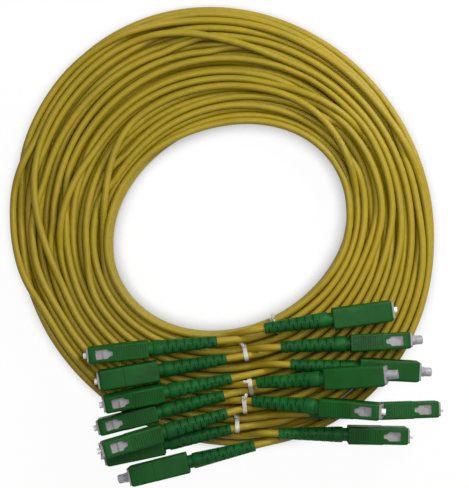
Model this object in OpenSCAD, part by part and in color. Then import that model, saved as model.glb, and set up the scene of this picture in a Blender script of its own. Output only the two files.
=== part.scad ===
// Bundle of seven fibre optic patch cords with SC/APC connectors, wound into one round coil.
// The origin is the middle of the bundle's footprint, on the surface it lies on. +Z is up.

/* [Cord] */
// Outer diameter of a cord's jacket
cord_d = 3; // [2.3:0.1:3.1]
// Distance between the middles of the neighbouring strands of one cord
strand_pitch = 3.5; // [3.4:0.1:3.7]
// Diameter of the buffered fibre inside the jacket
fibre_d = 0.9; // [0.6:0.1:0.9]

/* [Coil] */
// Longest width of the hole in the coil
hole_l = 105.4; // [90:0.2:128]
// Width of the hole across that
hole_b = 87; // [72:0.5:106]
// Angle that the hole's longest width is turned by, up to the right
hole_turn = 28; // [15:1:40]
// Width of the bundle of turns at the two ends of the hole's longest width
bundle_w_ends = 35.5; // [33:0.5:42]
// Width of the bundle of turns at the two sides of the hole's longest width
bundle_w_sides = 52.4; // [48:0.4:58]
// Height of the plain core that stands for the lower turns
core_h = 4.8; // [3:0.1:8]
// Free height between the core and the wound turns
core_gap = 0.7; // [0.6:0.1:1]

/* [Boot] */
// Length of the tapered part of the strain relief boot
boot_taper_l = 26.9; // [20:0.1:32]
// Length of the boot's neck, which reaches into the rear of the housing
boot_neck_l = 2.5; // [2:0.1:4]
// Diameter of the boot where the cord leaves it
boot_rear_d = 4.7; // [4.2:0.1:5]
// Diameter of the boot's thick end
boot_front_d = 6.6; // [6.2:0.1:7]
// Diameter of the boot's neck
boot_neck_d = 5.6; // [5.5:0.1:5.7]
// Length of the crimp sleeve between the jacket's end and the stop ring
crimp_l = 8; // [6:0.5:12]
// Outer diameter of the crimp sleeve that the boot's front grips
crimp_d = 4.2; // [4:0.1:4.4]
// Depth of the grooves that let the boot bend
groove_depth = 0.5; // [0.3:0.05:0.55]

/* [Outer housing] */
// Width of the push-pull housing, across its wide face
housing_w = 9; // [8.9:0.1:10.8]
// Thickness of the housing, across its narrow face
housing_t = 7.4; // [7.3:0.1:9]
// Length of the housing
housing_l = 25; // [24:0.1:26]
// Wall of the housing
housing_wall = 0.7; // [0.6:0.05:0.85]
// How far the housing slides back to let the adapter's latches go
housing_travel = 2; // [1:0.1:2.4]

/* [Plug and ferrule] */
// Free space on each side between the plug frame and the housing
frame_gap = 0.1; // [0.08:0.01:0.2]
// How far the plug frame stands out of the housing's front
frame_stand_out = 0.8; // [0.4:0.1:1.5]
// Bore of the plug frame, both behind the ferrule's flange and in front of it
frame_bore_d = 4.8; // [4.7:0.05:4.9]
// Diameter of the ceramic ferrule
ferrule_d = 2.499; // [2.49:0.001:2.5]
// How far the ferrule's tip stands out of the housing's front
ferrule_stand_out = 2.4; // [1.5:0.1:3]
// Angle of the ferrule's polished end face
apc_angle = 8; // [0:1:9]
// How far the ferrule can be pushed back against its spring
ferrule_travel = 1.8; // [1:0.1:2]
// Diameter of the ferrule's flange, which the spring pushes on
flange_d = 4.6; // [4.5:0.05:4.65]

/* [Dust cap] */
// Outer diameter of a dust cap
cap_d = 4.2; // [3.9:0.1:4.4]
// Radial clearance between a dust cap and the ferrule
cap_clearance = 0.05; // [0.03:0.01:0.1]
// How far a dust cap stands out of the housing's front
cap_stand_out = 5.5; // [4:0.1:8]

/* [Tie] */
// Width of a tie's band
tie_w = 1.8; // [1.5:0.1:2]
// Thickness of a tie's band
tie_t = 0.35; // [0.3:0.05:0.4]
// Free space between a tie and the strands that it holds
tie_slack = 0.3; // [0.3:0.05:0.35]

/* [Hidden] */
// Middle of the footprint, seen from the point that the turns are wound about
middle = [8.19, -10.15];
// Middles of the hole and of the coil's outline from that point, along the hole's longest width
// and across it
hole_middle = [7.7, -5.6];
outline_middle = [4.9, -5.1];

// One row per cord: the connector on its left end, then the one on its right end.
// A connector is [x of the boot's rear, row, height over the turns, heading, pitch, roll].
// Rows are a housing's thickness wide and count outwards from the near edge of the hole.
// At roll 0 the wide face is up.
left_plugs = [
    [4, 0.48, 5.4, 6, 3, 90],
    [8, 1.47, 4.4, 9.5, 4, 0],
    [10, 2.55, 5.8, 11, 6, 85],
    [7, 3.52, 4.8, 14, 3, 90],
    [8, 4.50, 6.8, 15, 13, 90],
    [10, 5.44, 4.0, 12, 0, 0],
    [20, 6.34, 4.6, 14, 0, 5]
];
right_plugs = [
    [24, -0.26, 6.6, 8, 0, 0],
    [31, 0.78, 7.0, 3, 0, 85],
    [35, 1.79, 5.4, -3, 0, 0],
    [21, 2.79, 7.1, 5, 14, 0],
    [19, 3.82, 6.6, -3, 14, 90],
    [43, 4.52, 5.4, 2, 0, 85],
    [30, 5.63, 6.0, -1, 0, 90]
];
// Angles round the coil where each cord's left tail joins its turns and its right tail leaves them
left_joins = [-60, -60, -61, -66, -66, -68, -67];
right_joins = [-85, -78, -75, -92, -91, -74, -82];
// Each tie as [cord, angle round the coil]
ties_at = [[0, -57], [1, -74], [3, -75.5], [4, -78.7], [5, -81.7], [6, -67.5]];
// Ends that still wear a dust cap
capped_left = [6];
capped_right = [1, 2, 3];

cords = len(left_plugs);
cord_r = cord_d / 2;
plug_gap = 0.1;
plug_row = housing_t + plug_gap;
turns_z = core_h + core_gap + cord_r;
turns_top = turns_z + strand_pitch + cord_r;

// Free space between the outermost or innermost strand and the edge of the bundle of turns
edge_gap = 0.15;
edge = cord_r + edge_gap;
// How far the core's edges stay inside the bundle of turns
core_inset = 1;
outline_step = 5;

// A cord's pair of strands lies flatter where the bundle is wider. The square of its flatness
// rises with the bundle's width in strand pitches, from the least one up to 1.
flat_rise = 0.119;
flat_drop = 0.631;
flat_least = 0.05;

// Of a cord's turns, the first lies on top and outside. At sink_at it goes below, at cross_at over
// to the inside, and at rise_at back up. All are angles round the coil from the first turn's 0.
turns = 3;
sink_at = 244;
cross_at = 570;
rise_at = 646;
sink_span = 28;
rise_span = 26;

// Free angle between a tail's join and the next ring of the turns
join_gap = 5;
rings_per_turn = 24;
turn_step = 360 / rings_per_turn;
tube_sides = 6;
tail_steps = 7;
tail_pull = 0.42;
stub_l = 3;
next_stretches = 5;
tie_reach = 9;

// Lengths, walls and free spaces of the hidden pieces of a connector
collar_l = 1.6;
stop_front_l = 4.5;
stop_bore_d = 1.6;
ferrule_tail_l = 4;
tail_gap = 0.2;
tail_d = frame_bore_d - 1.8;
flange_l = 3;
web_l = 1;
web_bore_d = ferrule_d + 1.5;
bore_slack = 0.1;
crimp_wall = 0.4;
crimp_set_back = 1.4;
spring_gap = 0.2;
spring_wall = 0.6;
fibre_depth = 1.5;
fibre_bore_d = fibre_d + 0.3;
cap_web_gap = 1;
cap_tip_gap = 0.6;

// Stations along a connector, from the boot's rear face towards the tip
neck_end = boot_taper_l + boot_neck_l;
housing_z = boot_taper_l + housing_travel + bore_slack;
housing_end = housing_z + housing_l;
collar_end = neck_end + collar_l;
spring_z = collar_end + stop_front_l;
flange_z = spring_z + ferrule_tail_l + ferrule_travel + tail_gap;
web_z = flange_z + flange_l;
frame_end = housing_end + frame_stand_out;
tip_z = housing_end + ferrule_stand_out;
fibre_end = flange_z - fibre_depth;
crimp_end = neck_end - crimp_set_back;
cord_grip_l = crimp_end - crimp_l;
cap_z = web_z + web_l + cap_web_gap;
cap_end = housing_end + cap_stand_out;

frame_w = housing_w - 2 * (housing_wall + frame_gap);
frame_t = housing_t - 2 * (housing_wall + frame_gap);
stop_front_d = frame_bore_d - bore_slack;
crimp_bore_d = crimp_d - 2 * crimp_wall;
housing_corner = 0.9;
housing_bore_corner = 0.55;
frame_corner = 0.6;
small = 0.01;

yellow = [0.70, 0.62, 0.15];

$fn = 48;

// ---- Routes of the cords ----

function unit(v) = v / norm(v);
function ease(x) = 0.5 - 0.5 * cos(180 * max(0, min(1, x)));

// Distance at angle t to an ellipse with its middle at m and half axes a and b, all of it turned
function ellipse_r(t, m, a, b) =
    let (u = t - hole_turn,
         k2 = pow(cos(u) / a, 2) + pow(sin(u) / b, 2),
         k1 = -2 * (cos(u) * m.x / (a * a) + sin(u) * m.y / (b * b)),
         k0 = pow(m.x / a, 2) + pow(m.y / b, 2) - 1)
    (-k1 + sqrt(k1 * k1 - 4 * k2 * k0)) / (2 * k2);

// Radius of the hole in the coil, and of the coil's outline, at angle t
function hole_r(t) = ellipse_r(t, hole_middle, hole_l / 2, hole_b / 2);
function outline_r(t) =
    ellipse_r(t, outline_middle, hole_l / 2 + bundle_w_ends, hole_b / 2 + bundle_w_sides);
function bundle_w(t) = outline_r(t) - hole_r(t);

// How flat a cord's pair of strands lies at angle t: 1 is side by side, 0 is one above the other
function flatness(t) =
    sqrt(max(flat_least, min(1, flat_rise * bundle_w(t) / strand_pitch - flat_drop)));

// Radius of the middle of lane k, and how steeply it climbs outwards along the turn
function lane_r(k, t) = hole_r(t) + bundle_w(t) * (k + 0.5) / cords;
function lane_slope(k, t) = (lane_r(k, t + 1) - lane_r(k, t - 1)) * 90 / PI / lane_r(k, t);

// A place in lane k: u runs from the inner strand to the outer, v from the lower to the upper
function place(k, u, v, t) =
    let (flat = flatness(t),
         side = strand_pitch * flat * sqrt(1 + pow(lane_slope(k, t), 2)),
         lane_step = (bundle_w(t) - 2 * edge - side) / (cords - 1),
         r = hole_r(t) + edge + k * lane_step + u * side,
         z = turns_z + strand_pitch * (v + (1 - u) * sqrt(1 - flat * flat)))
    [r * cos(t), r * sin(t), z];

// A point of cord k's turns
function turn_point(k, t) =
    let (u = 1 - ease((t - cross_at) / sink_span),
         v = 1 - ease((t - sink_at) / sink_span) + ease((t - rise_at) / rise_span))
    place(k, u, v, t);
function turn_dir(k, t) = unit(turn_point(k, t + 0.5) - turn_point(k, t - 0.5));

function bezier(a, da, b, db, t) =
    let (pull = tail_pull * norm(b - a), s = 1 - t)
    s * s * s * a + 3 * s * s * t * (a + pull * da) + 3 * s * t * t * (b - pull * db) + t * t * t * b;

function boot_rear(plug) = [plug[0], -hole_r(-90) - plug[1] * plug_row, turns_top + plug[2]];
function azimuth(plug, left) = left ? 180 + plug[3] : plug[3];
function forward(plug, left) =
    let (az = azimuth(plug, left))
    [cos(plug[4]) * cos(az), cos(plug[4]) * sin(az), sin(plug[4])];

// The whole route of cord k, from its left boot round the coil to its right boot
function route(k) =
    let (left = left_plugs[k], right = right_plugs[k],
         start = boot_rear(left), start_dir = -forward(left, true),
         end = boot_rear(right), end_dir = forward(right, false),
         t0 = left_joins[k], t1 = turns * 360 + right_joins[k],
         join = turn_point(k, t0), leave = turn_point(k, t1),
         out = start + stub_l * start_dir, back = end - stub_l * end_dir)
    concat(
        [start],
        [for (i = [0 : tail_steps]) bezier(out, start_dir, join, turn_dir(k, t0), i / tail_steps)],
        [for (i = [ceil((t0 + join_gap) / turn_step) : floor((t1 - join_gap) / turn_step)])
            turn_point(k, i * turn_step)],
        [for (i = [0 : tail_steps]) bezier(leave, turn_dir(k, t1), back, end_dir, i / tail_steps)],
        [end]
    );

// ---- Swept tube ----

function tangent(path, i) =
    let (n = len(path) - 1)
    i == 0 ? unit(path[1] - path[0])
    : i == n ? unit(path[n] - path[n - 1])
    : unit(unit(path[i] - path[i - 1]) + unit(path[i + 1] - path[i]));

function ring(path, i, r) =
    let (along = tangent(path, i), side = unit(cross([0, 0, 1], along)), up = cross(along, side))
    [for (j = [0 : tube_sides - 1])
        path[i] + r * (cos(360 * j / tube_sides) * side + sin(360 * j / tube_sides) * up)];

module tube(path, r) {
    rings = len(path);
    last = (rings - 1) * tube_sides;
    points = [for (i = [0 : rings - 1]) each ring(path, i, r)];
    walls = [for (i = [0 : rings - 2], j = [0 : tube_sides - 1])
        let (a = i * tube_sides + j, b = i * tube_sides + (j + 1) % tube_sides)
        each [[a, a + tube_sides, b + tube_sides], [a, b + tube_sides, b]]];
    rear = [for (j = [1 : tube_sides - 2]) [0, j, j + 1]];
    front = [for (j = [1 : tube_sides - 2]) [last, last + j + 1, last + j]];
    polyhedron(points, concat(walls, rear, front));
}

// Distance from point p to the straight stretch from a to b
function point_gap(p, a, b) =
    let (s = max(0, min(1, (p - a) * (b - a) / ((b - a) * (b - a)))))
    norm(p - a - s * (b - a));

// Least free space between a route and its own other turns, skipping what lies next along it
function least_gap(path) =
    min([for (i = [0 : len(path) - 2], j = [i + next_stretches : 1 : len(path) - 2])
        min(point_gap(path[i], path[j], path[j + 1]), point_gap(path[j], path[i], path[i + 1]))])
    - cord_d;

// Where a route passes the upright plane through c square to the level direction d, within
// reach of c, as [distance to the right, height]
function passes(path, c, d) =
    [for (i = [0 : len(path) - 2])
        let (a = (path[i] - c) * d, b = (path[i + 1] - c) * d)
        if (a <= 0 && b > 0)
            let (p = path[i] - (path[i + 1] - path[i]) * a / (b - a))
            if (norm([p.x - c.x, p.y - c.y]) < tie_reach) [(p - c) * [d.y, -d.x, 0], p.z]];

// ---- The coil ----

module centred() {
    translate([-middle.x, -middle.y, 0]) children();
}

module coil_core() {
    angles = [0 : outline_step : 360 - outline_step];
    color(yellow) centred() linear_extrude(core_h) difference() {
        polygon([for (t = angles) (outline_r(t) - core_inset) * [cos(t), sin(t)]]);
        polygon([for (t = angles) (hole_r(t) + core_inset) * [cos(t), sin(t)]]);
    }
}

module cord(k) {
    path = route(k);
    echo(cord = k + 1, least_gap_to_itself = least_gap(path));
    color(yellow) centred() tube(path, cord_r);
}

module wrapped(points, r) {
    hull() for (p = points) translate(p) circle(r, $fn = 24);
}

// A band round every strand of cord k at angle t round the coil, square to the strands
module tie(k, t) {
    middle_strand = place(k, 0.5, 0, t);
    along = turn_dir(k, t + 360);
    level = unit([along.x, along.y, 0]);
    strands = passes(route(k), middle_strand, level);
    translate([middle_strand.x, middle_strand.y, 0]) rotate([90, 0, atan2(-level.x, level.y)])
        translate([0, 0, -tie_w / 2]) linear_extrude(tie_w) difference() {
            wrapped(strands, cord_r + tie_slack + tie_t);
            wrapped(strands, cord_r + tie_slack);
        }
}

module ties() {
    color([0.88, 0.87, 0.83]) centred() for (at = ties_at) tie(at[0], at[1]);
}

// ---- One connector, from the boot's rear face along +Z ----

module at_plug(plug, left) {
    centred() translate(boot_rear(plug))
        rotate([0, 90 - plug[4], azimuth(plug, left)]) rotate([0, 0, plug[5]]) children();
}

module on_all_plugs() {
    for (plug = left_plugs) at_plug(plug, true) children();
    for (plug = right_plugs) at_plug(plug, false) children();
}

module sleeve(z, end, d, bore) {
    translate([0, 0, z]) difference() {
        cylinder(h = end - z, d = d);
        translate([0, 0, -small]) cylinder(h = end - z + 2 * small, d = bore);
    }
}

// A block with its long edges cut off, t thick along X and w wide along Y
module plug_block(t, w, z, end, cut) {
    translate([0, 0, z]) linear_extrude(end - z) polygon([
        [-t / 2 + cut, -w / 2], [t / 2 - cut, -w / 2], [t / 2, -w / 2 + cut], [t / 2, w / 2 - cut],
        [t / 2 - cut, w / 2], [-t / 2 + cut, w / 2], [-t / 2, w / 2 - cut], [-t / 2, -w / 2 + cut]
    ]);
}

module cable_end() {
    cylinder(h = cord_grip_l, d = cord_d);
}

module boot() {
    grooves = 9;
    groove_w = 0.8;
    plain_l = 2;
    groove_step = (boot_taper_l - 2 * plain_l) / grooves;
    difference() {
        union() {
            cylinder(h = boot_taper_l, d1 = boot_rear_d, d2 = boot_front_d);
            translate([0, 0, boot_taper_l - small])
                cylinder(h = boot_neck_l + small, d = boot_neck_d);
        }
        translate([0, 0, -small]) cylinder(h = cord_grip_l + 2 * small, d = cord_d + bore_slack);
        translate([0, 0, cord_grip_l]) cylinder(h = neck_end, d = crimp_d + bore_slack);
        for (i = [0 : grooves - 1]) translate([0, 0, plain_l + i * groove_step])
            difference() {
                cylinder(h = groove_w, d = boot_front_d + 1);
                translate([0, 0, -small]) cylinder(h = groove_w + 2 * small,
                    d = boot_rear_d + (boot_front_d - boot_rear_d) * i / grooves
                        - 2 * groove_depth);
            }
    }
}

module crimp_sleeve() {
    sleeve(cord_grip_l, crimp_end, crimp_d, crimp_bore_d);
}

module stop_ring() {
    sleeve(cord_grip_l, neck_end, crimp_bore_d - bore_slack, stop_bore_d);
    sleeve(neck_end, collar_end, boot_neck_d, stop_bore_d);
    sleeve(collar_end, spring_z, stop_front_d, stop_bore_d);
}

module spring() {
    outer_d = frame_bore_d - 2 * spring_gap;
    sleeve(spring_z, flange_z, outer_d, outer_d - 2 * spring_wall);
}

module buffer_fibre() {
    translate([0, 0, cord_grip_l]) cylinder(h = fibre_end - cord_grip_l, d = fibre_d);
}

module plug_frame() {
    shoulder_w = 4;
    shoulder_l = 3.5;
    shoulder_depth = 0.7;
    shoulder_back = 7;
    difference() {
        plug_block(frame_t, frame_w, collar_end, frame_end, frame_corner);
        translate([0, 0, collar_end - small])
            cylinder(h = web_z - collar_end + small, d = frame_bore_d);
        translate([0, 0, collar_end]) cylinder(h = housing_l, d = web_bore_d);
        translate([0, 0, web_z + web_l]) cylinder(h = housing_l, d = frame_bore_d);
        // the shoulders that the adapter's latches catch on
        for (side = [-1, 1])
            translate([0, side * frame_w / 2, frame_end - shoulder_back + shoulder_l / 2])
                cube([shoulder_w, 2 * shoulder_depth, shoulder_l], center = true);
    }
}

module ferrule() {
    difference() {
        union() {
            translate([0, 0, flange_z + small])
                cylinder(h = tip_z - flange_z - small, d = ferrule_d);
            translate([0, 0, flange_z]) cylinder(h = flange_l, d = flange_d);
            translate([0, 0, flange_z - ferrule_tail_l])
                cylinder(h = ferrule_tail_l + small, d = tail_d);
        }
        translate([0, 0, flange_z - ferrule_tail_l - small])
            cylinder(h = ferrule_tail_l + fibre_depth, d = fibre_bore_d);
        translate([0, 0, tip_z - ferrule_d * tan(apc_angle) / 2]) rotate([apc_angle, 0, 0])
            translate([-ferrule_d, -ferrule_d, 0]) cube(2 * ferrule_d);
    }
}

module outer_housing() {
    grooves = 9;
    groove_w = 5;
    groove_l = 0.5;
    groove_step = 1.15;
    groove_sink = 0.25;
    groove_start = 1.2;
    window_w = 4.2;
    window_start = 3;
    window_l = 5.3;
    nose_w = 2;
    nose_l = 1.9;
    difference() {
        plug_block(housing_t, housing_w, housing_z, housing_end, housing_corner);
        plug_block(housing_t - 2 * housing_wall, housing_w - 2 * housing_wall,
            housing_z - small, housing_end + small, housing_bore_corner);
        for (side = [0, 180]) rotate([0, 0, side]) {
            // the window in the narrow face, pointed towards the rear
            translate([0, housing_w / 2 + small, housing_end - window_start]) rotate([90, 0, 0])
                linear_extrude(housing_wall + 2 * small) polygon([
                    [-window_w / 2, 0], [window_w / 2, 0], [window_w / 2, -window_l],
                    [nose_w / 2, -window_l - nose_l], [-nose_w / 2, -window_l - nose_l],
                    [-window_w / 2, -window_l]
                ]);
            // the grooves between the fine ribs of the grip
            for (i = [0 : grooves - 1])
                translate([-groove_w / 2, housing_w / 2 - groove_sink,
                        housing_z + groove_start + i * groove_step])
                    cube([groove_w, 1, groove_l]);
        }
    }
}

module dust_cap() {
    bore = ferrule_d + 2 * cap_clearance;
    difference() {
        translate([0, 0, cap_z]) cylinder(h = cap_end - cap_z, d = cap_d);
        translate([0, 0, cap_z - small])
            cylinder(h = tip_z + cap_tip_gap - cap_z, d = bore);
    }
}

// ---- Nodes ----

module cable_ends() {
    color(yellow) on_all_plugs() cable_end();
}

module boots() {
    color([0.10, 0.45, 0.20]) on_all_plugs() boot();
}

module crimp_sleeves() {
    color([0.75, 0.74, 0.72]) on_all_plugs() crimp_sleeve();
}

module stop_rings() {
    color([0.80, 0.79, 0.76]) on_all_plugs() stop_ring();
}

module springs() {
    color([0.60, 0.60, 0.62]) on_all_plugs() spring();
}

module buffer_fibres() {
    color([0.93, 0.92, 0.88]) on_all_plugs() buffer_fibre();
}

module plug_frames() {
    color([0.72, 0.70, 0.72]) on_all_plugs() plug_frame();
}

module housing_on(plug, left) {
    color([0.10, 0.50, 0.20]) at_plug(plug, left) outer_housing();
}

module ferrule_on(plug, left) {
    color([0.96, 0.96, 0.94]) at_plug(plug, left) ferrule();
}

module cap_on(plug, left) {
    color([0.70, 0.70, 0.70, 0.8]) at_plug(plug, left) dust_cap();
}

coil_core();
ties();
cable_ends();
boots();
crimp_sleeves();
stop_rings();
springs();
buffer_fibres();
plug_frames();
for (k = [0 : cords - 1]) {
    cord(k);
    housing_on(left_plugs[k], true);
    housing_on(right_plugs[k], false);
    ferrule_on(left_plugs[k], true);
    ferrule_on(right_plugs[k], false);
}
for (k = capped_left)
    cap_on(left_plugs[k], true);
for (k = capped_right)
    cap_on(right_plugs[k], false);
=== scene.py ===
"""Looks of a coiled bundle of seven fibre optic patch cords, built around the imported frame.

Lengths are in millimetres until a mesh or curve is made, and angles are in degrees. The
materials, the floor and the lamps are in metres.
"""
import math

import bmesh
import bpy
import numpy as np
from mathutils import Matrix, Vector


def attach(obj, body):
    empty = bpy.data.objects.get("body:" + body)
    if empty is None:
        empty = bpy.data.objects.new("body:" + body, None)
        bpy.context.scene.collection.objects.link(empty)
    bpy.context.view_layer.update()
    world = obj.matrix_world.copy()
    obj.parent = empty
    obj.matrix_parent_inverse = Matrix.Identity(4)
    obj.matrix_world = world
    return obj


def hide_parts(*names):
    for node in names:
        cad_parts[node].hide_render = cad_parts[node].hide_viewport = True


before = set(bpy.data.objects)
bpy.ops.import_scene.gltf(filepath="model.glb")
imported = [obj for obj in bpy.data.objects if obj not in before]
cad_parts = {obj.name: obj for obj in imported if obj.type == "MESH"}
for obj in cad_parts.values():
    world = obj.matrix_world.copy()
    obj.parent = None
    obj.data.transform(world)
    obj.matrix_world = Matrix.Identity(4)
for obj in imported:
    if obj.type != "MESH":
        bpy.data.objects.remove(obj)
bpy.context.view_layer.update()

MM = 0.001
scene = bpy.context.scene
scene.view_settings.view_transform = "Standard"

# ---------------------------------------------------------------- the CAD's own sizes
CORD_D = 3.0
STRAND_PITCH = 3.5
# the oval hole, the bundle's breadth at the oval's ends and sides, and the two outlines' middles
HOLE_L, HOLE_B, HOLE_TURN = 105.4, 87.0, 28.0
BUNDLE_W_ENDS, BUNDLE_W_SIDES = 35.5, 52.4
HOLE_MIDDLE, OUTLINE_MIDDLE = (7.7, -5.6), (4.9, -5.1)
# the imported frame's origin, in the row frame: that of the coil's angles and the rows of plugs
MIDDLE = Vector((8.19, -10.15, 0.0))
# height of the turns, and the distance from one row of plugs to the next
TURNS_TOP = 12.0
PLUG_ROW = 7.5
# a lane's two strands lie flat where the bundle is broad and tip up where it is narrow
FLAT_RISE, FLAT_DROP, FLAT_LEAST = 0.119, 0.631, 0.05
# x of the boot's rear, row, height over the turns, heading, pitch, roll
LEFT_PLUGS = [
    (4, 0.48, 5.4, 6, 3, 90),
    (8, 1.47, 4.4, 9.5, 4, 0),
    (10, 2.55, 5.8, 11, 6, 85),
    (7, 3.52, 4.8, 14, 3, 90),
    (8, 4.50, 6.8, 15, 13, 90),
    (10, 5.44, 4.0, 12, 0, 0),
    (20, 6.34, 4.6, 14, 0, 5),
]
RIGHT_PLUGS = [
    (24, -0.26, 6.6, 8, 0, 0),
    (31, 0.78, 7.0, 3, 0, 85),
    (35, 1.79, 5.4, -3, 0, 0),
    (21, 2.79, 7.1, 5, 14, 0),
    (19, 3.82, 6.6, -3, 14, 90),
    (43, 4.52, 5.4, 2, 0, 85),
    (30, 5.63, 6.0, -1, 0, 90),
]
# angles where the cords' tails leave the coil, then the ties: which cord, at which angle
LEFT_JOINS = (-60, -60, -61, -66, -66, -68, -67)
RIGHT_JOINS = (-85, -78, -75, -92, -91, -74, -82)
TIES_AT = ((0, -57), (1, -74), (3, -75.5), (4, -78.7), (5, -81.7), (6, -67.5))
CAPPED = ("a7", "b2", "b3", "b4")
# how far a tail's handles reach, as a share of its span, and its straight start at the boot
TAIL_PULL = 0.42
STUB_L = 3.0
# stations along a connector, from the boot's rear face
HOUSING_Z, HOUSING_END = 29.0, 54.0
BOOT_TAPER_L, NECK_END = 26.9, 29.4
BOOT_REAR_D, BOOT_FRONT_D, BOOT_NECK_D = 4.7, 6.6, 5.6
HOUSING_T, HOUSING_W, HOUSING_WALL = 7.4, 9.0, 0.7
CAP_Z, CAP_END, CAP_D, CAP_BORE = 46.5, 59.5, 4.2, 2.6

CORD_R = CORD_D / 2
CORDS = len(LEFT_PLUGS)
# from the bundle's outline to the middle of its first strand
EDGE = CORD_R + 0.15


# ---------------------------------------------------------------- camera
def add_camera():
    """Straight above the bundle, at the photograph's scale."""
    look_at = (3.2, 0.6, 8.0)
    view_h, sensor, lens = 209.0, 36.0, 100.0
    camera = bpy.data.objects.new("camera", bpy.data.cameras.new("camera"))
    camera.data.sensor_width = sensor
    camera.data.lens = lens
    camera.data.clip_start = 0.01
    away = view_h * lens / sensor
    camera.location = Vector((look_at[0], look_at[1], look_at[2] + away)) * MM
    scene.collection.objects.link(camera)
    scene.camera = camera


# ---------------------------------------------------------------- the coil's outline
def ellipse_r(t, middle, a, b):
    """Distance at angle t to a turned ellipse with its middle at middle."""
    u = np.radians(t - HOLE_TURN)
    k2 = (np.cos(u) / a) ** 2 + (np.sin(u) / b) ** 2
    k1 = -2 * (np.cos(u) * middle[0] / a**2 + np.sin(u) * middle[1] / b**2)
    k0 = (middle[0] / a) ** 2 + (middle[1] / b) ** 2 - 1
    return (-k1 + np.sqrt(k1**2 - 4 * k2 * k0)) / (2 * k2)


def hole_r(t):
    return ellipse_r(t, HOLE_MIDDLE, HOLE_L / 2, HOLE_B / 2)


def outline_r(t):
    a, b = HOLE_L / 2 + BUNDLE_W_ENDS, HOLE_B / 2 + BUNDLE_W_SIDES
    return ellipse_r(t, OUTLINE_MIDDLE, a, b)


def lane_slope(k, t):
    """How steeply lane k runs in or out at angle t: the change of its radius along its way."""
    def r(at):
        return hole_r(at) + (outline_r(at) - hole_r(at)) * (k + 0.5) / CORDS
    return (r(t + 1) - r(t - 1)) * 90 / math.pi / r(t)


def place(k, u, z, t):
    """Radius and height in lane k: u is 0 for its inner strand and 1 for its outer one."""
    width = outline_r(t) - hole_r(t)
    flat = np.sqrt(np.clip(FLAT_RISE * width / STRAND_PITCH - FLAT_DROP, FLAT_LEAST, 1))
    side = STRAND_PITCH * flat * np.sqrt(1 + lane_slope(k, t) ** 2)
    step = (width - 2 * EDGE - side) / (CORDS - 1)
    lift = (1 - u) * STRAND_PITCH * np.sqrt(1 - flat**2)
    return hole_r(t) + EDGE + k * step + u * side, z + lift


def ease(x):
    """From 0 to 1 as x does, slow at both ends, and level before and after."""
    return 0.5 - 0.5 * np.cos(math.pi * np.clip(x, 0, 1))


# ---------------------------------------------------------------- the cords' turns
# Between its boots each cord is 3 m less its two connectors, so the outer lanes hold fewer
# turns than the inner ones.
TURNS = (8, 8, 7, 7, 6, 6, 5)
LAYERS = 4
LAYER_Z = [CORD_R + i * (TURNS_TOP - CORD_D) / (LAYERS - 1) for i in range(LAYERS)]
TOP = LAYERS - 1
# degrees from one point of a turn to the next
STEP = 5
STATIONS = 360 // STEP
# the turns shift over by one place between these angles, under the connectors
SHIFT_FIRST, SHIFT_LAST, SHIFT_SPAN = 246.0, 286.0, 28.0
# a cord's first turn lies on top up to this angle, and its last from this one on
TOP_UNTIL, TOP_FROM = 217, -19
# the turns are held for this far to each side of this angle, and get free over the fade
HELD_AT, HELD_SIDE, HELD_FADE = -81, 62, 26
# how strands wander, sideways and upwards: periods in turns, then sizes
SIDE_DRIFT = (0.83, 0.47, 1.71), (0.9, 0.45, 1.0)
RISE_DRIFT = (0.61, 1.37), (0.5, 0.6)
# the share of the sideways drift that each strand has, what the upper ones have beyond it,
# and how far those rise on the whole
DRIFT_ALL, DRIFT_UPPER, UPPER_RISE = 0.6, 0.7, 0.3


def places_of(turns):
    """The places that a cord's turns take one after the other: down outside, up inside.

    Where a cord has the fewest turns, its two lowest lie in the middle of their lane.
    """
    low = 0.5 if turns == min(TURNS) else 1
    outside = [(1 if layer > 1 else low, layer) for layer in range(TOP, -1, -1)]
    inside = [(0, layer) for layer in range(LAYERS)]
    return outside + inside[len(outside) + len(inside) - turns:]


def turn_places(k, t):
    """Which side of its lane, and which height, cord k has at angle t."""
    places = np.array(places_of(TURNS[k]), float)
    shifts = len(places) - 1
    s = np.zeros_like(t)
    for j in range(shifts):
        first = SHIFT_FIRST + (SHIFT_LAST - SHIFT_FIRST) * j / (shifts - 1)
        s += ease((t - first - 360 * j) / SHIFT_SPAN)
    order = np.arange(len(places))
    return np.interp(s, order, places[:, 0]), np.interp(s, order, places[:, 1])


def free_share(t):
    """1 where the turns lie free, 0 where the connectors and ties hold them."""
    a = (t - HELD_AT) % 360
    away = np.minimum(a, 360 - a)
    return ease((away - HELD_SIDE) / HELD_FADE)


def wander(t, seed, periods, sizes):
    """A slow, uneven drift along a cord."""
    rng = np.random.default_rng(seed)
    return sum(
        size * np.sin(math.tau * t / (360 * period) + rng.uniform(0, math.tau))
        for period, size in zip(periods, sizes)
    )


# Upper strands that stray over their neighbours: their rank from the inside, the ranks they
# move, and the angles where they leave, arrive, leave again and are back.
STRAYS = (
    (1, 3, 5, 60, 120, 190),
    (7, -2, 20, 70, 140, 200),
    (8, 3, 60, 120, 150, 212),
    (13, -1, 2, 40, 90, 135),
    (12, 1, 150, 175, 185, 212),
)
# the angle that their table counts from, and how far one rides over its neighbours
STRAYS_FROM, STRAY_RIDE = -60, 2.5


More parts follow.
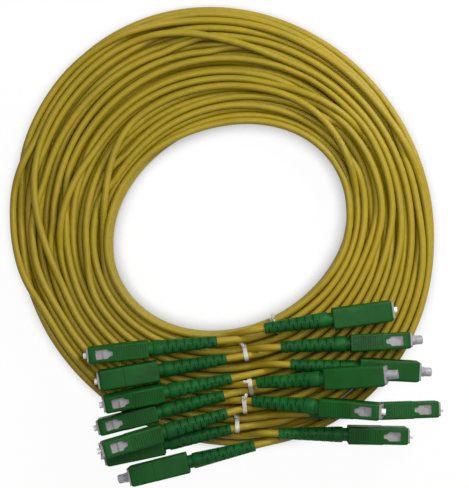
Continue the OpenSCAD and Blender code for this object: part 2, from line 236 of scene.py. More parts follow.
def strayed(rank, a):
    """Where the upper strand of a rank lies at angle a, in ranks, and how high it rides."""
    at, ride = np.full(a.shape, float(rank)), np.zeros(a.shape)
    for mover, ranks, leave, arrive, turn_back, home in STRAYS:
        share = ease((a - leave) / (arrive - leave)) - ease((a - turn_back) / (home - turn_back))
        moved = (rank - mover) * np.sign(ranks)
        if moved == 0:
            at += ranks * share
            ride += ease(2 * np.minimum(share, 1 - share) * abs(ranks))
        elif 0 < moved <= abs(ranks):
            at -= np.sign(ranks) * np.clip(share * abs(ranks) - moved + 0.5, 0, 1)
    return at, ride


def strayed_place(rank, t):
    """Radius and height of the upper strand of a rank, with the strays gone over."""
    at, ride = strayed(rank, (t - STRAYS_FROM) % 360 + STRAYS_FROM)
    low = np.clip(np.floor(at), 0, 2 * CORDS - 2)
    ends = []
    for m in (low, low + 1):
        spots = [place(k, u, LAYER_Z[TOP], t) for k in range(CORDS) for u in (0, 1)]
        pick = m.astype(int), np.arange(len(t))
        ends.append([np.array([spot[i] for spot in spots])[pick] for i in (0, 1)])
    f = at - low
    r, z = (ends[0][i] * (1 - f) + ends[1][i] * f for i in (0, 1))
    return r, z + STRAY_RIDE * ride


# Keeping the strands apart: passes, and those that still pull a strand to where it was laid;
# then what each pass does of smoothing, of that pull, of sinking and of pushing apart.
PASSES, PASSES_PULLED = 300, 240
SMOOTHING, HOME_PULL, SINK, PUSH = 0.5, 0.02, 0.03, 0.55
# gap between strands, and room beyond the outline, over the free turns and over the held ones
STRAND_GAP, SIDE_ROOM, FREE_ROOM, HELD_ROOM = 0.03, 0.4, 4.0, 0.05


def relaxed_turns():
    """The turns of all the cords: laid in their lanes, let wander, then kept apart."""
    spans, r0, z0, hold = [], [], [], []
    for k in range(CORDS):
        first = math.ceil((LEFT_JOINS[k] + STEP) / STEP)
        last = math.floor((360 * TURNS[k] + RIGHT_JOINS[k] - STEP) / STEP)
        t = np.arange(first, last + 1) * float(STEP)
        u, layer = turn_places(k, t)
        r, z = place(k, u, np.interp(layer, range(LAYERS), LAYER_Z), t)
        free = free_share(t)
        top = np.clip(layer - (TOP - 1), 0, 1)
        for u_top, upper in ((1, t < TOP_UNTIL), (0, t > 360 * (TURNS[k] - 1) + TOP_FROM)):
            upper = upper & (top > 0.99) & (free > 0)
            r[upper], z[upper] = strayed_place(2 * k + u_top, t[upper])
        spans.append(t)
        hold.append(1 - np.where(top > 0.5, free, 1.0))
        r += free * (DRIFT_ALL + DRIFT_UPPER * top) * wander(t, 11 + k, *SIDE_DRIFT)
        z += free * top * (UPPER_RISE + wander(t, 31 + k, *RISE_DRIFT))
        r0.append(r)
        z0.append(z)
    t, r, z = np.concatenate(spans), np.concatenate(r0), np.concatenate(z0)
    r_start, z_start = r.copy(), z.copy()
    give = 1 - np.concatenate(hold)
    ends = np.cumsum([0] + [len(x) for x in spans])
    give[ends[:-1]] = give[ends[1:] - 1] = 0

    inner = hole_r(t) + CORD_R
    outer = outline_r(t) - CORD_R + SIDE_ROOM
    roof = np.where(free_share(t) > 0.02, LAYER_Z[TOP] + FREE_ROOM, z_start + HELD_ROOM)
    station = np.round(t / STEP).astype(int) % STATIONS
    groups = [np.flatnonzero(station == i) for i in range(STATIONS)]
    most = max(len(g) for g in groups)
    index = np.full((STATIONS, most), -1)
    for i, g in enumerate(groups):
        index[i, :len(g)] = g
    real = index >= 0
    safe = np.where(real, index, 0)
    pairs = real[:, :, None] & real[:, None, :] & ~np.eye(most, dtype=bool)[None]
    slope = lane_slope(CORDS // 2, np.arange(STATIONS) * float(STEP))
    lean = np.sqrt(1 + slope**2)[:, None, None]
    apart = CORD_D + STRAND_GAP
    w = give[safe] * real

    for i in range(PASSES):
        for a, b in zip(ends[:-1], ends[1:]):
            for value, start in ((r, r_start), (z, z_start)):
                off = value[a:b] - start[a:b]
                bend = np.zeros_like(off)
                bend[1:-1] = (off[:-2] + off[2:]) / 2 - off[1:-1]
                value[a:b] += SMOOTHING * give[a:b] * bend
        if i < PASSES_PULLED:
            r += HOME_PULL * give * (r_start - r)
            z += HOME_PULL * give * (z_start - z)
        z -= SINK * give
        rs, zs = r[safe], z[safe]
        dr = (rs[:, :, None] - rs[:, None, :]) / lean
        dz = zs[:, :, None] - zs[:, None, :]
        gap = np.sqrt(dr**2 + dz**2) + 1e-6
        push = np.where(pairs & (gap < apart), apart - gap, 0.0)
        share = w[:, :, None] / np.maximum(w[:, :, None] + w[:, None, :], 1e-6)
        move_r = (PUSH * push * share * dr / gap * lean).sum(2)
        move_z = (PUSH * push * share * dz / gap).sum(2)
        r[safe[real]] += move_r[real]
        z[safe[real]] += move_z[real]
        r = np.clip(r, np.minimum(inner, r_start), np.maximum(outer, r_start))
        z = np.clip(z, CORD_R, roof)
    a = np.radians(t)
    points = np.stack([r * np.cos(a), r * np.sin(a), z], axis=1)
    return [points[a:b] for a, b in zip(ends[:-1], ends[1:])]


def unit(v):
    return v / np.linalg.norm(v)


def top_point(k, u, t):
    """The point of lane k's upper strand at angle t, in the row frame."""
    r, z = place(k, u, LAYER_Z[TOP], np.float64(t))
    return np.array([r * math.cos(math.radians(t)), r * math.sin(math.radians(t)), z])


def top_direction(k, u, t):
    return unit(top_point(k, u, t + 0.5) - top_point(k, u, t - 0.5))


def boot_rear(plug):
    """The middle of a boot's rear face, in the row frame."""
    return np.array([plug[0], -hole_r(-90.0) - plug[1] * PLUG_ROW, TURNS_TOP + plug[2]])


def azimuth(plug, left):
    return plug[3] + (180 if left else 0)


def forward(plug, left):
    az, up = math.radians(azimuth(plug, left)), math.radians(plug[4])
    return np.array([math.cos(up) * math.cos(az), math.cos(up) * math.sin(az), math.sin(up)])


def bezier(a, da, b, db, steps=10):
    """A curve from a, leaving along da, to b, arriving along db."""
    pull = TAIL_PULL * np.linalg.norm(b - a)
    t = np.linspace(0, 1, steps + 1)[:, None]
    s = 1 - t
    return s**3 * a + 3 * s**2 * t * (a + pull * da) + 3 * s * t**2 * (b - pull * db) + t**3 * b


def smoothed(points, parts=3):
    """The same line through the same points, with parts steps between each two of them."""
    p = np.vstack([2 * points[0] - points[1], points, 2 * points[-1] - points[-2]])
    a, b, c, d = p[:-3], p[1:-2], p[2:-1], p[3:]
    rows = []
    for t in np.arange(parts) / parts:
        rows.append(0.5 * (2 * b + (c - a) * t + (2 * a - 5 * b + 4 * c - d) * t**2
                           + (3 * b - a - 3 * c + d) * t**3))
    return np.vstack([np.stack(rows, axis=1).reshape(-1, 3), points[-1:]])


def route(k, turns):
    """The whole line of cord k, from its left boot round the coil to its right boot."""
    left, right = LEFT_PLUGS[k], RIGHT_PLUGS[k]
    start, start_dir = boot_rear(left), -forward(left, True)
    end, end_dir = boot_rear(right), forward(right, False)
    t0, t1 = LEFT_JOINS[k], RIGHT_JOINS[k]
    out = bezier(start + STUB_L * start_dir, start_dir,
                 top_point(k, 1, t0), top_direction(k, 1, t0))
    back = bezier(top_point(k, 0, t1), top_direction(k, 0, t1),
                  end - STUB_L * end_dir, end_dir)
    points = np.vstack([start, out, turns, back, end]) - np.array(MIDDLE)
    return smoothed(points)


def add_cord(k, points, material):
    """A cord as one bevelled curve, with the two straight ends running into its boots."""
    curve = bpy.data.curves.new(f"patch_cord_{k + 1}", "CURVE")
    curve.dimensions = "3D"
    curve.bevel_depth = CORD_R * MM
    curve.bevel_resolution = 4
    curve.use_fill_caps = True
    spline = curve.splines.new("POLY")
    spline.points.add(len(points) - 1)
    flat = np.hstack([points * MM, np.ones((len(points), 1))])
    spline.points.foreach_set("co", flat.ravel())
    spline.use_smooth = True
    cord = bpy.data.objects.new(f"patch_cord_{k + 1}", curve)
    scene.collection.objects.link(cord)
    curve.materials.append(material)
    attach(cord, "root")
    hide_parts(f"cord_{k + 1}", "coil_core")
    return cord


# ---------------------------------------------------------------- materials
def srgb(r, g, b):
    """A colour as read off a screen, 0 to 255, as a shader wants it."""
    def linear(c):
        c /= 255
        return c / 12.92 if c <= 0.04045 else ((c + 0.055) / 1.055) ** 2.4
    return (linear(r), linear(g), linear(b), 1.0)


class Shader:
    """A material of one Principled shader, with a few helpers for its texture nodes."""

    def __init__(self, name, roughness, **sockets):
        self.material = bpy.data.materials.new(name)
        self.material.use_nodes = True
        self.tree = self.material.node_tree
        self.surface = self.tree.nodes["Principled BSDF"]
        self.surface.inputs["Roughness"].default_value = roughness
        for socket, value in sockets.items():
            self.surface.inputs[socket.replace("_", " ")].default_value = value
        self.coords = self.node("ShaderNodeTexCoord").outputs["Object"]
        self.bumps = None

    def node(self, kind, **settings):
        node = self.tree.nodes.new(kind)
        for name, value in settings.items():
            setattr(node, name, value)
        return node

    def link(self, a, b):
        self.tree.links.new(a, b)

    def noise(self, scale, detail=3.0, rough=0.55, distortion=0.0):
        """A noise texture in the piece's own coordinates, scale in cycles to the metre."""
        node = self.node("ShaderNodeTexNoise")
        node.inputs["Scale"].default_value = scale
        node.inputs["Detail"].default_value = detail
        node.inputs["Roughness"].default_value = rough
        node.inputs["Distortion"].default_value = distortion
        self.link(self.coords, node.inputs["Vector"])
        return node.outputs["Fac"]

    def ramp(self, value, stops):
        """A colour that follows value through stops of position and colour."""
        node = self.node("ShaderNodeValToRGB")
        elements = node.color_ramp.elements
        while len(elements) < len(stops):
            elements.new(0.5)
        for element, (at, colour) in zip(elements, stops):
            element.position = at
            element.color = colour
        self.link(value, node.inputs["Fac"])
        return node.outputs["Color"]

    def mix(self, share, a, b):
        """Colour a with a share of colour b, where each of the three is a value or a socket."""
        node = self.node("ShaderNodeMix", data_type="RGBA")
        for socket, value in (("Factor", share), ("A", a), ("B", b)):
            target = [s for s in node.inputs if s.name == socket and s.enabled][0]
            if isinstance(value, bpy.types.NodeSocket):
                self.link(value, target)
            else:
                target.default_value = value
        return [s for s in node.outputs if s.enabled][0]

    def span(self, value, low, high):
        """A value from low to high, as value goes through the usual range of a noise texture."""
        node = self.node("ShaderNodeMapRange")
        node.inputs["From Min"].default_value, node.inputs["From Max"].default_value = 0.3, 0.7
        node.inputs["To Min"].default_value = low
        node.inputs["To Max"].default_value = high
        self.link(value, node.inputs["Value"])
        return node.outputs["Result"]

    def colour(self, socket):
        self.link(socket, self.surface.inputs["Base Color"])

    def rough(self, socket):
        self.link(socket, self.surface.inputs["Roughness"])

    def bump(self, height, distance, strength):
        """A bump on top of those made before, its distance in metres."""
        node = self.node("ShaderNodeBump")
        node.inputs["Distance"].default_value = distance
        node.inputs["Strength"].default_value = strength
        self.link(height, node.inputs["Height"])
        if self.bumps is not None:
            self.link(self.bumps, node.inputs["Normal"])
        self.bumps = node.outputs["Normal"]
        self.link(self.bumps, self.surface.inputs["Normal"])


def jacket_material():
    """Yellow-olive extruded jacket: satin, with slow drifts of tone and faint scuffs."""
    shader = Shader("yellow_jacket", 0.45, Specular_IOR_Level=0.2)
    tone = shader.ramp(shader.noise(28, 2, 0.5), [
        (0.30, srgb(136, 119, 20)), (0.52, srgb(148, 128, 24)), (0.72, srgb(158, 133, 30))])
    mottle = shader.ramp(shader.noise(420, 4, 0.6), [
        (0.35, srgb(135, 118, 25)), (0.7, srgb(162, 141, 37))])
    scuff = shader.ramp(shader.noise(1500, 2, 0.7), [
        (0.66, (0, 0, 0, 1)), (0.78, (1, 1, 1, 1))])
    body = shader.mix(0.35, tone, mottle)
    shader.colour(shader.mix(shader.span(scuff, 0.0, 0.12), body, srgb(180, 164, 84)))
    shader.rough(shader.span(shader.noise(900, 3), 0.36, 0.5))
    shader.bump(shader.noise(2600, 2), 0.00004, 0.5)
    shader.bump(shader.noise(260, 2), 0.00018, 0.35)
    return shader.material


def green_material(name, dark, middle, light, roughness, grain):
    """Moulded green plastic with a fine mould texture and lightly rubbed spots."""
    shader = Shader(name, roughness, Specular_IOR_Level=0.14)
    tone = shader.ramp(shader.noise(70, 3, 0.55), [(0.32, dark), (0.52, middle), (0.74, light)])
    rub = shader.ramp(shader.noise(900, 4, 0.65, 0.3), [
        (0.62, (0, 0, 0, 1)), (0.8, (1, 1, 1, 1))])
    shader.colour(shader.mix(shader.span(rub, 0.0, 0.14), tone, srgb(40, 108, 56)))
    shader.rough(shader.span(shader.noise(500, 3), roughness - 0.07, roughness + 0.1))
    shader.bump(shader.noise(3200, 2, 0.6), 0.00003, grain)
    return shader.material


def pale_plastic(name, dark, light, roughness, **sockets):
    shader = Shader(name, roughness, **sockets)
    shader.colour(shader.ramp(shader.noise(260, 3), [(0.3, dark), (0.7, light)]))
    shader.rough(shader.span(shader.noise(700, 3), roughness - 0.05, roughness + 0.1))
    shader.bump(shader.noise(2400, 2), 0.00003, 0.35)
    return shader.material


def metal_material(name, dark, light, roughness):
    shader = Shader(name, roughness, Metallic=1.0)
    shader.colour(shader.ramp(shader.noise(600, 4), [(0.3, dark), (0.7, light)]))
    shader.rough(shader.span(shader.noise(1800, 3), roughness - 0.06, roughness + 0.12))
    shader.bump(shader.noise(4000, 2), 0.00002, 0.3)
    return shader.material


def make_materials():
    return {
        "jacket": jacket_material(),
        "boot": green_material("green_boot", srgb(8, 66, 22), srgb(14, 78, 29),
                               srgb(24, 93, 39), 0.52, 0.5),
        "housing": green_material("green_housing", srgb(3, 59, 11), srgb(5, 68, 14),
                                  srgb(10, 77, 20), 0.45, 0.3),
        "plug_frame": pale_plastic("grey_plug_frame", srgb(122, 117, 120), srgb(146, 140, 144),
                                   0.42, Specular_IOR_Level=0.5),
        "ferrule": pale_plastic("white_ceramic", srgb(232, 232, 228), srgb(242, 242, 240),
                                0.16, Specular_IOR_Level=0.6),
        "cap": pale_plastic("clear_cap", srgb(136, 135, 139), srgb(162, 161, 165),
                            0.3, Alpha=0.72, IOR=1.45),
        "tie": pale_plastic("white_tie", srgb(182, 177, 168), srgb(206, 201, 193), 0.5,
                            Sheen_Weight=0.1),
        "buffer": pale_plastic("buffer_fibre", srgb(226, 222, 206), srgb(238, 235, 222), 0.45),
        "crimp": metal_material("nickel", srgb(176, 174, 168), srgb(204, 202, 197), 0.3),
        "stop_ring": metal_material("turned_steel", srgb(168, 167, 164), srgb(196, 195, 192),
                                    0.34),
        "spring": metal_material("spring_wire", srgb(128, 128, 132), srgb(158, 158, 162), 0.3),
    }


# ---------------------------------------------------------------- meshes in a connector's frame
def plug_matrix(plug, left):
    """From a connector's own frame, Z forwards, X through its thickness, to the row frame."""
    turn = (Matrix.Rotation(math.radians(azimuth(plug, left)), 4, "Z")
            @ Matrix.Rotation(math.radians(90 - plug[4]), 4, "Y")
            @ Matrix.Rotation(math.radians(plug[5]), 4, "Z"))
    return Matrix.Translation(Vector(boot_rear(plug)) - MIDDLE) @ turn


def shade(mesh, sharp=32.0):
    """Smooth faces with sharp edges where they meet at more than this angle."""
    bm = bmesh.new()
    bm.from_mesh(mesh)
    bmesh.ops.recalc_face_normals(bm, faces=bm.faces)
    for face in bm.faces:
        face.smooth = True
    for edge in bm.edges:
        edge.smooth = edge.is_manifold and edge.calc_face_angle(0) < math.radians(sharp)
    bm.to_mesh(mesh)
    bm.free()
    return mesh


def rings_mesh(name, rings, close):
    """A skin over rings of equally many points. close joins the last ring to the first."""
    n, count = len(rings[0]), len(rings)
    faces = []
    for i in range(count if close else count - 1):
        a, b = i * n, (i + 1) % count * n
        faces += [(a + j, a + (j + 1) % n, b + (j + 1) % n, b + j) for j in range(n)]
    if not close:
        faces += [tuple(range(n))[::-1], tuple(range((count - 1) * n, count * n))]
    mesh = bpy.data.meshes.new(name)
    mesh.from_pydata([p for ring in rings for p in ring], [], faces)
    return mesh


def housing_ring(hx, hy, corner, z, groove=0.0):
    """A rounded rectangle, with its two narrow faces sunk by groove over the ribs' width."""
    corner_steps, rib_half, rib_side = 4, 2.5, 0.12
    # half the flat of a narrow and of a wide face at full size, and the points along them
    narrow_flat, wide_flat = 2.8, 3.6
    wide = (-3.0, -1.5, 0.0, 1.5, 3.0)
    narrow = (-rib_half - rib_side, -rib_half, -1.2, 0.0, 1.2, rib_half, rib_half + rib_side)
    half = []
    for step in range(corner_steps + 1):
        a = math.radians(-90 + 90 * step / corner_steps)
        half.append((hx - corner + corner * math.cos(a), -hy + corner + corner * math.sin(a)))
    half += [(hx, y * (hy - corner) / wide_flat) for y in wide]
    for step in range(corner_steps + 1):
        a = math.radians(90 * step / corner_steps)
        half.append((hx - corner + corner * math.cos(a), hy - corner + corner * math.sin(a)))
    for x in narrow[::-1]:
        sunk = groove if abs(x) <= rib_half else 0.0
        half.append((x * (hx - corner) / narrow_flat, hy - sunk))
    return [(x, y, z) for x, y in half] + [(-x, -y, z) for x, y in half]


def housing_mesh():
    """The push-pull housing: ribbed grip, stepped wide faces, open ends and two windows."""
    hx, hy = HOUSING_T / 2, HOUSING_W / 2
    rear, front = HOUSING_Z, HOUSING_END
    step_at, step_in = front - 10.5, 0.16
    ribs_from, ribs_to, rib_step = rear + 0.9, front - 10.7, 1.0
    groove_w, groove_side, groove_depth = 0.45, 0.08, 0.26
    rings = [housing_ring(hx - 0.34, hy - 0.34, 0.7, rear),
             housing_ring(hx - 0.1, hy - 0.1, 0.85, rear + 0.1),
             housing_ring(hx, hy, 0.9, rear + 0.36)]
    z = ribs_from
    while z + groove_w < ribs_to:
        rings += [housing_ring(hx, hy, 0.9, z),
                  housing_ring(hx, hy, 0.9, z + groove_side, groove_depth),
                  housing_ring(hx, hy, 0.9, z + groove_w - groove_side, groove_depth),
                  housing_ring(hx, hy, 0.9, z + groove_w)]
        z += rib_step
    rings += [housing_ring(hx, hy, 0.9, step_at - 0.1),
              housing_ring(hx - step_in, hy - 0.05, 0.85, step_at + 0.1),
              housing_ring(hx - step_in, hy - 0.05, 0.85, front - 1.1),
              housing_ring(hx - step_in - 0.07, hy - 0.15, 0.85, front - 0.65),
              housing_ring(hx - step_in - 0.2, hy - 0.34, 0.75, front - 0.22),
              housing_ring(hx - step_in - 0.34, hy - 0.52, 0.6, front)]
    inside = (hx - HOUSING_WALL, hy - HOUSING_WALL, 0.55)
    rings += [housing_ring(inside[0] + 0.14, inside[1] + 0.14, 0.6, front - 0.02),
              housing_ring(*inside, front - 0.3),
              housing_ring(*inside, rear + 0.2),
              housing_ring(inside[0] + 0.1, inside[1] + 0.1, 0.6, rear)]
    body = bpy.data.objects.new("body", rings_mesh("body", rings, True))
    cutter = bpy.data.objects.new("cutter", window_mesh(hy))
    for piece in (body, cutter):
        scene.collection.objects.link(piece)
    cut = body.modifiers.new("window", "BOOLEAN")
    cut.operation = "DIFFERENCE"
    cut.solver = "EXACT"
    cut.object = cutter
    bpy.context.view_layer.update()
    mesh = bpy.data.meshes.new_from_object(
        body.evaluated_get(bpy.context.evaluated_depsgraph_get()))
    for piece in (body, cutter):
        bpy.data.objects.remove(piece)
    return shade(mesh)


def window_mesh(hy):
    """Two prisms through the narrow faces' walls: a window with a blunt point to the rear."""
    front, side_end, tip_start, nose = 51.0, 46.1, 45.2, 43.8
    half, tip, cut, draft = 2.0, 1.1, 0.35, 0.1
    outline = [(-half, front - cut), (-half + cut, front), (half - cut, front),
               (half, front - cut), (half, side_end), (tip, tip_start),
               (tip - draft, nose + cut), (tip - draft - cut, nose),
               (-tip + draft + cut, nose), (-tip + draft, nose + cut),
               (-tip, tip_start), (-half, side_end)]
    n = len(outline)
    points, faces = [], []
    for side in (-1, 1):
        base = len(points)
        near, far = side * (hy - HOUSING_WALL - 0.05), side * (hy + 1)
        points += [(x, near, z) for x, z in outline] + [(x, far, z) for x, z in outline]
        faces += [tuple(base + i for i in range(n)), tuple(base + n + i for i in range(n))[::-1]]
        faces += [(base + i, base + n + i, base + n + (i + 1) % n, base + (i + 1) % n)
                  for i in range(n)]
    mesh = bpy.data.meshes.new("cutter")
    mesh.from_pydata(points, [], faces)
    return shade(mesh)


def boot_mesh():
    """The strain relief boot: a taper with staggered slots, fine ribs and a plain collar."""
    sides, collar, bore_r, bore_depth = 72, 2.4, CORD_R + 0.12, 0.25
    slot_w, slot_depth, slot_step, slot_arc, lip = 0.64, 0.76, 1.7, 100, 0.05
    rib_w, rib_depth = 0.3, 0.17
    slots_from, slots = 1.6, int((BOOT_TAPER_L - 3.6) / slot_step)

    def radius(z):
        share = min(1, z / (BOOT_TAPER_L - collar))
        return (BOOT_REAR_D + (BOOT_FRONT_D - BOOT_REAR_D) * share) / 2

    def ring(z, sink=0.0, row=None):
        """A ring sunk all round, or in a row's two slots only."""
        points = []
        for j in range(sides):
            a = 360 * j / sides
            side = (a - 45 - 90 * (0 if row is None else row % 2)) % 180
            deep = row is None or min(side, 180 - side) <= slot_arc / 2
            r, b = radius(z) - sink * deep, math.radians(a)
            points.append((r * math.cos(b), r * math.sin(b), z))
        return points

    def plain(r, z):
        return ring(z, radius(z) - r)

    rings = [plain(bore_r, bore_depth), plain(bore_r, 0), plain(radius(0) - 0.25, 0),
             plain(radius(0) - 0.05, 0.12), ring(0.4)]
    for i in range(slots):
        z = slots_from + i * slot_step
        rings += [ring(z), ring(z + lip, slot_depth, i), ring(z + slot_w - lip, slot_depth, i),
                  ring(z + slot_w)]
        z += slot_w + (slot_step - slot_w - rib_w) / 2
        rings += [ring(z), ring(z + lip, rib_depth), ring(z + rib_w - lip, rib_depth),
                  ring(z + rib_w)]
    rings += [ring(BOOT_TAPER_L - 2.3), ring(BOOT_TAPER_L - 0.3),
              plain(radius(BOOT_TAPER_L) - 0.25, BOOT_TAPER_L),
              plain(BOOT_NECK_D / 2, BOOT_TAPER_L), plain(BOOT_NECK_D / 2, NECK_END)]
    return shade(rings_mesh("boot", rings, False), 40)


def cap_mesh():
    """The dust cap: a short tube with a rim, closed at its rounded outer end."""
    sides = 40
    r, bore = CAP_D / 2, CAP_BORE / 2
    profile = [(bore, CAP_Z), (r - 0.1, CAP_Z), (r, CAP_Z + 0.1), (r, CAP_END - 3.4),
               (r, CAP_END - 3.3), (r - 0.18, CAP_END - 3.1), (r - 0.2, CAP_END - 0.7),
               (r - 0.32, CAP_END - 0.3), (r - 0.62, CAP_END - 0.06), (r - 1.0, CAP_END),
               (0.35, CAP_END), (0.3, CAP_END - 0.12), (0.02, CAP_END - 0.16)]
    inside = [(0.02, CAP_END - 2.3), (bore - 0.2, CAP_END - 2.4), (bore, CAP_END - 2.7)]
    rings = [[(q * math.cos(math.tau * j / sides), q * math.sin(math.tau * j / sides), z)
              for j in range(sides)] for q, z in profile + inside]
    return shade(rings_mesh("cap", rings, True), 35)


def add_piece(name, mesh, matrix, body, slot, material, *nodes):
    """A copy of a mesh, put in place in the row frame, riding on a body for CAD nodes."""
    mesh = mesh.copy()
    mesh.name = name
    mesh.transform(Matrix.Scale(MM, 4) @ matrix)
    mesh.materials.clear()
    mesh.materials.append(material)
    piece = bpy.data.objects.new(name, mesh)
    scene.collection.objects.link(piece)
    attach(piece, body)
    if nodes:
        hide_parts(*nodes)
    return piece


def add_connectors(materials):
    """Housing, boot and cap of every connector."""
    housing, boot, cap = housing_mesh(), boot_mesh(), cap_mesh()
    pieces = {}
    for side, plugs, left in (("a", LEFT_PLUGS, True), ("b", RIGHT_PLUGS, False)):
        for k, plug in enumerate(plugs):
            end = f"{side}{k + 1}"
            matrix = plug_matrix(plug, left)
            node = f"outer_housing_{end}"
            add_piece(f"push_pull_housing_{end}", housing, matrix, node, "housing",
                      materials["housing"], node)
            pieces[end] = add_piece(f"boot_{end}", boot, matrix, "root", "boot",
                                    materials["boot"], "boots")
            if end in CAPPED:
                node = f"dust_cap_{end}"
                add_piece(f"end_cap_{end}", cap, matrix, node, "cap", materials["cap"], node)
    for mesh in (housing, boot, cap):
        bpy.data.meshes.remove(mesh)
    return pieces


# ---------------------------------------------------------------- ties
# width and thickness of a band, its gap round the strands, how far from its middle it gathers
# them, and the number of points round it
TIE_W, TIE_T, TIE_SLACK, TIE_REACH, TIE_POINTS = 1.8, 0.35, 0.12, 9.0, 64


def hull(points):
    """The convex outline round flat points, anticlockwise."""
    points = sorted(map(tuple, points))

    def half(row):
        line = []
        for p in row:
            while len(line) > 1 and np.cross(np.subtract(line[-1], line[-2]),
                                             np.subtract(p, line[-2])) <= 0:
                line.pop()
            line.append(p)
        return line[:-1]
    return half(points) + half(points[::-1])


def round_outline(points, r):
    """The outline at distance r round points, evenly spaced."""
    ring = [(x + r * math.cos(a), y + r * math.sin(a))
            for x, y in points for a in np.linspace(0, math.tau, 32, endpoint=False)]
    line = np.array(hull(ring) + hull(ring)[:1])
    along = np.concatenate([[0], np.cumsum(np.linalg.norm(np.diff(line, axis=0), axis=1))])
    at = np.linspace(0, along[-1], TIE_POINTS, endpoint=False)
    return np.stack([np.interp(at, along, line[:, i]) for i in range(2)], axis=1)


def add_tie(index, k, t, line, material):
    """A flat white band round the upper strands of a cord, with its two ends twisted up."""
    r, z = place(k, 0.5, LAYER_Z[TOP], np.float64(t))
    centre = np.array([r * math.cos(math.radians(t)), r * math.sin(math.radians(t)), 0])
    centre -= np.array(MIDDLE)
    along = top_direction(k, 1, t) * [1, 1, 0]
    along /= np.linalg.norm(along)
    side = np.array([along[1], -along[0], 0])
    rel = line - centre
    across = rel @ along
    strands = []
    for i in np.flatnonzero((across[:-1] <= 0) & (across[1:] > 0)):
        p = rel[i] - (rel[i + 1] - rel[i]) * across[i] / (across[i + 1] - across[i])
        if np.hypot(p[0], p[1]) < TIE_REACH and p[2] > (LAYER_Z[1] + LAYER_Z[2]) / 2:
            strands.append((p @ side, p[2]))
    inner = round_outline(strands, CORD_R + TIE_SLACK)
    outer = round_outline(strands, CORD_R + TIE_SLACK + TIE_T)
    half, side_reach, sunk = TIE_W / 2, 1.4, 0.1

    def ring(outline, at):
        return [tuple(centre + side * x + np.array([0, 0, z]) + along * at) for x, z in outline]
    rings = [ring(outer, -half + 0.12), ring(outer, half - 0.12),
             ring((inner + 3 * outer) / 4, half), ring((3 * inner + outer) / 4, half),
             ring(inner, half - 0.1), ring(inner, -half + 0.1),
             ring((3 * inner + outer) / 4, -half), ring((inner + 3 * outer) / 4, -half)]
    add_piece(f"tie_{index + 1}", shade(rings_mesh("tie", rings, True), 30),
              Matrix.Identity(4), "root", "tie", material, "ties")
    inner_end = outer[outer[:, 0] < outer[:, 0].min() + side_reach]
    top = inner_end[np.argmax(inner_end[:, 1])]
    foot = centre + side * top[0] + np.array([0, 0, top[1] - sunk])
    add_twist(index, foot, side, along, material)


def add_twist(index, foot, side, along, material):
    """The tie's two ends, twisted round each other for a few millimetres and bent over."""
    length, rise_by, droop_by = 2.6, 1.1, 0.9
    twists, wire_r, wire_off, steps = 1.2, 0.4, 0.36, 20
    lean = math.radians(150 + 60 * (index % 3))
    away = side * math.cos(lean) + along * math.sin(lean)
    curve = bpy.data.curves.new(f"tie_twist_{index + 1}", "CURVE")
    curve.dimensions = "3D"
    curve.bevel_depth = wire_r * MM
    curve.bevel_resolution = 2
    curve.use_fill_caps = True
    for strand in (0, math.pi):
        spline = curve.splines.new("POLY")
        spline.points.add(steps - 1)
        for i in range(steps):
            f = i / (steps - 1)
            turn = math.tau * twists * f + strand
            rise = rise_by * math.sin(math.pi / 2 * min(1, 2 * f)) - droop_by * max(0, f - 0.5)
            middle = foot + away * length * f + np.array([0, 0, rise])
            off = wire_off * (np.cross(away, [0, 0, 1]) * math.cos(turn)
                              + np.array([0, 0, 1]) * math.sin(turn))
            spline.points[i].co = (*((middle + off) * MM), 1)
        spline.use_smooth = True
    twist = bpy.data.objects.new(f"tie_twist_{index + 1}", curve)
    scene.collection.objects.link(twist)
    curve.materials.append(material)
    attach(twist, "root")
    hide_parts("ties")


# ---------------------------------------------------------------- CAD nodes that stay
def dress_cad_nodes(materials):
    kept = {"cable_ends": "jacket", "crimp_sleeves": "crimp", "stop_rings": "stop_ring",
            "springs": "spring", "buffer_fibres": "buffer", "plug_frames": "plug_frame"}
    for name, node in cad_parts.items():
        slot = "ferrule" if name.startswith("ferrule_") else kept.get(name)
        if slot:
            node.data.materials.clear()
            node.data.materials.append(materials[slot])


# ---------------------------------------------------------------- floor and light
def shows_backdrop(tree):
    """1 for the rays that the white backdrop is for: the camera's, mirrored and refracted."""
    path = tree.nodes.new("ShaderNodeLightPath")
    total = path.outputs["Is Camera Ray"]
    for kind in ("Is Glossy Ray", "Is Transmission Ray"):
        add = tree.nodes.new("ShaderNodeMath")
        add.operation = "ADD"
        add.use_clamp = True
        tree.links.new(total, add.inputs[0])
        tree.links.new(path.outputs[kind], add.inputs[1])
        total = add.outputs["Value"]
    return total


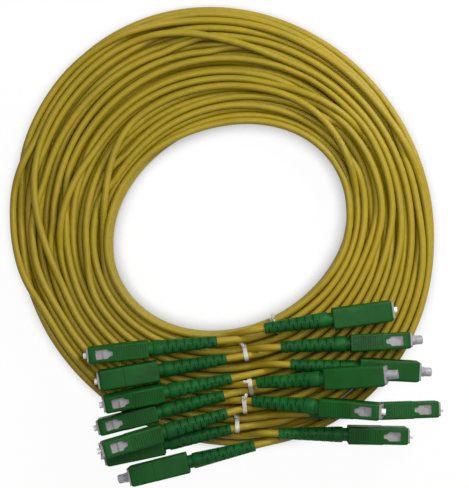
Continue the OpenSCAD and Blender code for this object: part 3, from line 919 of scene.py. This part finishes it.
def add_floor():
    """A floor that the camera sees as white, with a light shadow close to the bundle."""
    floor_size, shadow_reach, white_share = 2.0, 0.012, 0.95
    # how open to the air a spot is where it is darkest and where it is white, and the darkest
    shut_in, open_air, darkest = 0.15, 0.75, 0.08
    mesh = bpy.data.meshes.new("floor")
    bm = bmesh.new()
    bmesh.ops.create_grid(bm, x_segments=1, y_segments=1, size=floor_size)
    bm.to_mesh(mesh)
    bm.free()
    floor = bpy.data.objects.new("floor", mesh)
    scene.collection.objects.link(floor)
    shader = Shader("floor", 0.9, Specular_IOR_Level=0.1)
    shader.surface.inputs["Base Color"].default_value = (0.9, 0.9, 0.9, 1)
    near = shader.node("ShaderNodeAmbientOcclusion", samples=8)
    near.inputs["Distance"].default_value = shadow_reach
    lit = shader.node("ShaderNodeMapRange")
    lit.inputs["From Min"].default_value = shut_in
    lit.inputs["From Max"].default_value = open_air
    lit.inputs["To Min"].default_value = darkest
    shader.link(near.outputs["AO"], lit.inputs["Value"])
    white = shader.node("ShaderNodeEmission")
    shader.link(lit.outputs["Result"], white.inputs["Strength"])
    seen = shader.node("ShaderNodeMixShader")
    seen.inputs["Fac"].default_value = white_share
    shader.link(shader.surface.outputs["BSDF"], seen.inputs[1])
    shader.link(white.outputs["Emission"], seen.inputs[2])
    choose = shader.node("ShaderNodeMixShader")
    shader.link(shows_backdrop(shader.tree), choose.inputs["Fac"])
    shader.link(shader.surface.outputs["BSDF"], choose.inputs[1])
    shader.link(seen.outputs["Shader"], choose.inputs[2])
    shader.link(choose.outputs["Shader"], shader.tree.nodes["Material Output"].inputs["Surface"])
    mesh.materials.append(shader.material)


def add_light():
    """A soft lamp from the upper right, a wide one close to the camera, and a pale world."""
    world_strength = 0.185
    # name, place and width in metres, and watts
    lamps = (("key", (0.27, 0.25, 0.26), 0.12, 1.55), ("top", (0.05, 0.07, 0.50), 0.24, 1.5))
    world = bpy.data.worlds.new("studio")
    world.use_nodes = True
    tree = world.node_tree
    background = tree.nodes["Background"]
    background.inputs["Color"].default_value = (1, 1, 1, 1)
    background.inputs["Strength"].default_value = world_strength
    white = tree.nodes.new("ShaderNodeBackground")
    white.inputs["Color"].default_value = (1, 1, 1, 1)
    choose = tree.nodes.new("ShaderNodeMixShader")
    tree.links.new(shows_backdrop(tree), choose.inputs["Fac"])
    tree.links.new(background.outputs["Background"], choose.inputs[1])
    tree.links.new(white.outputs["Background"], choose.inputs[2])
    tree.links.new(choose.outputs["Shader"], tree.nodes["World Output"].inputs["Surface"])
    scene.world = world
    for name, place_at, size, watts in lamps:
        lamp = bpy.data.lights.new(name, "AREA")
        lamp.size = size
        lamp.energy = watts
        light = bpy.data.objects.new(name, lamp)
        light.location = place_at
        light.rotation_mode = "QUATERNION"
        light.rotation_quaternion = (-Vector(place_at)).to_track_quat("-Z", "Y")
        scene.collection.objects.link(light)


# ---------------------------------------------------------------- making it all
add_camera()
materials = make_materials()
turns = relaxed_turns()
lines = [route(k, turns[k]) for k in range(CORDS)]
cords = [add_cord(k, lines[k], materials["jacket"]) for k in range(CORDS)]
boots = add_connectors(materials)
for number, (k, t) in enumerate(TIES_AT):
    add_tie(number, k, t, lines[k], materials["tie"])
dress_cad_nodes(materials)
add_floor()
add_light()
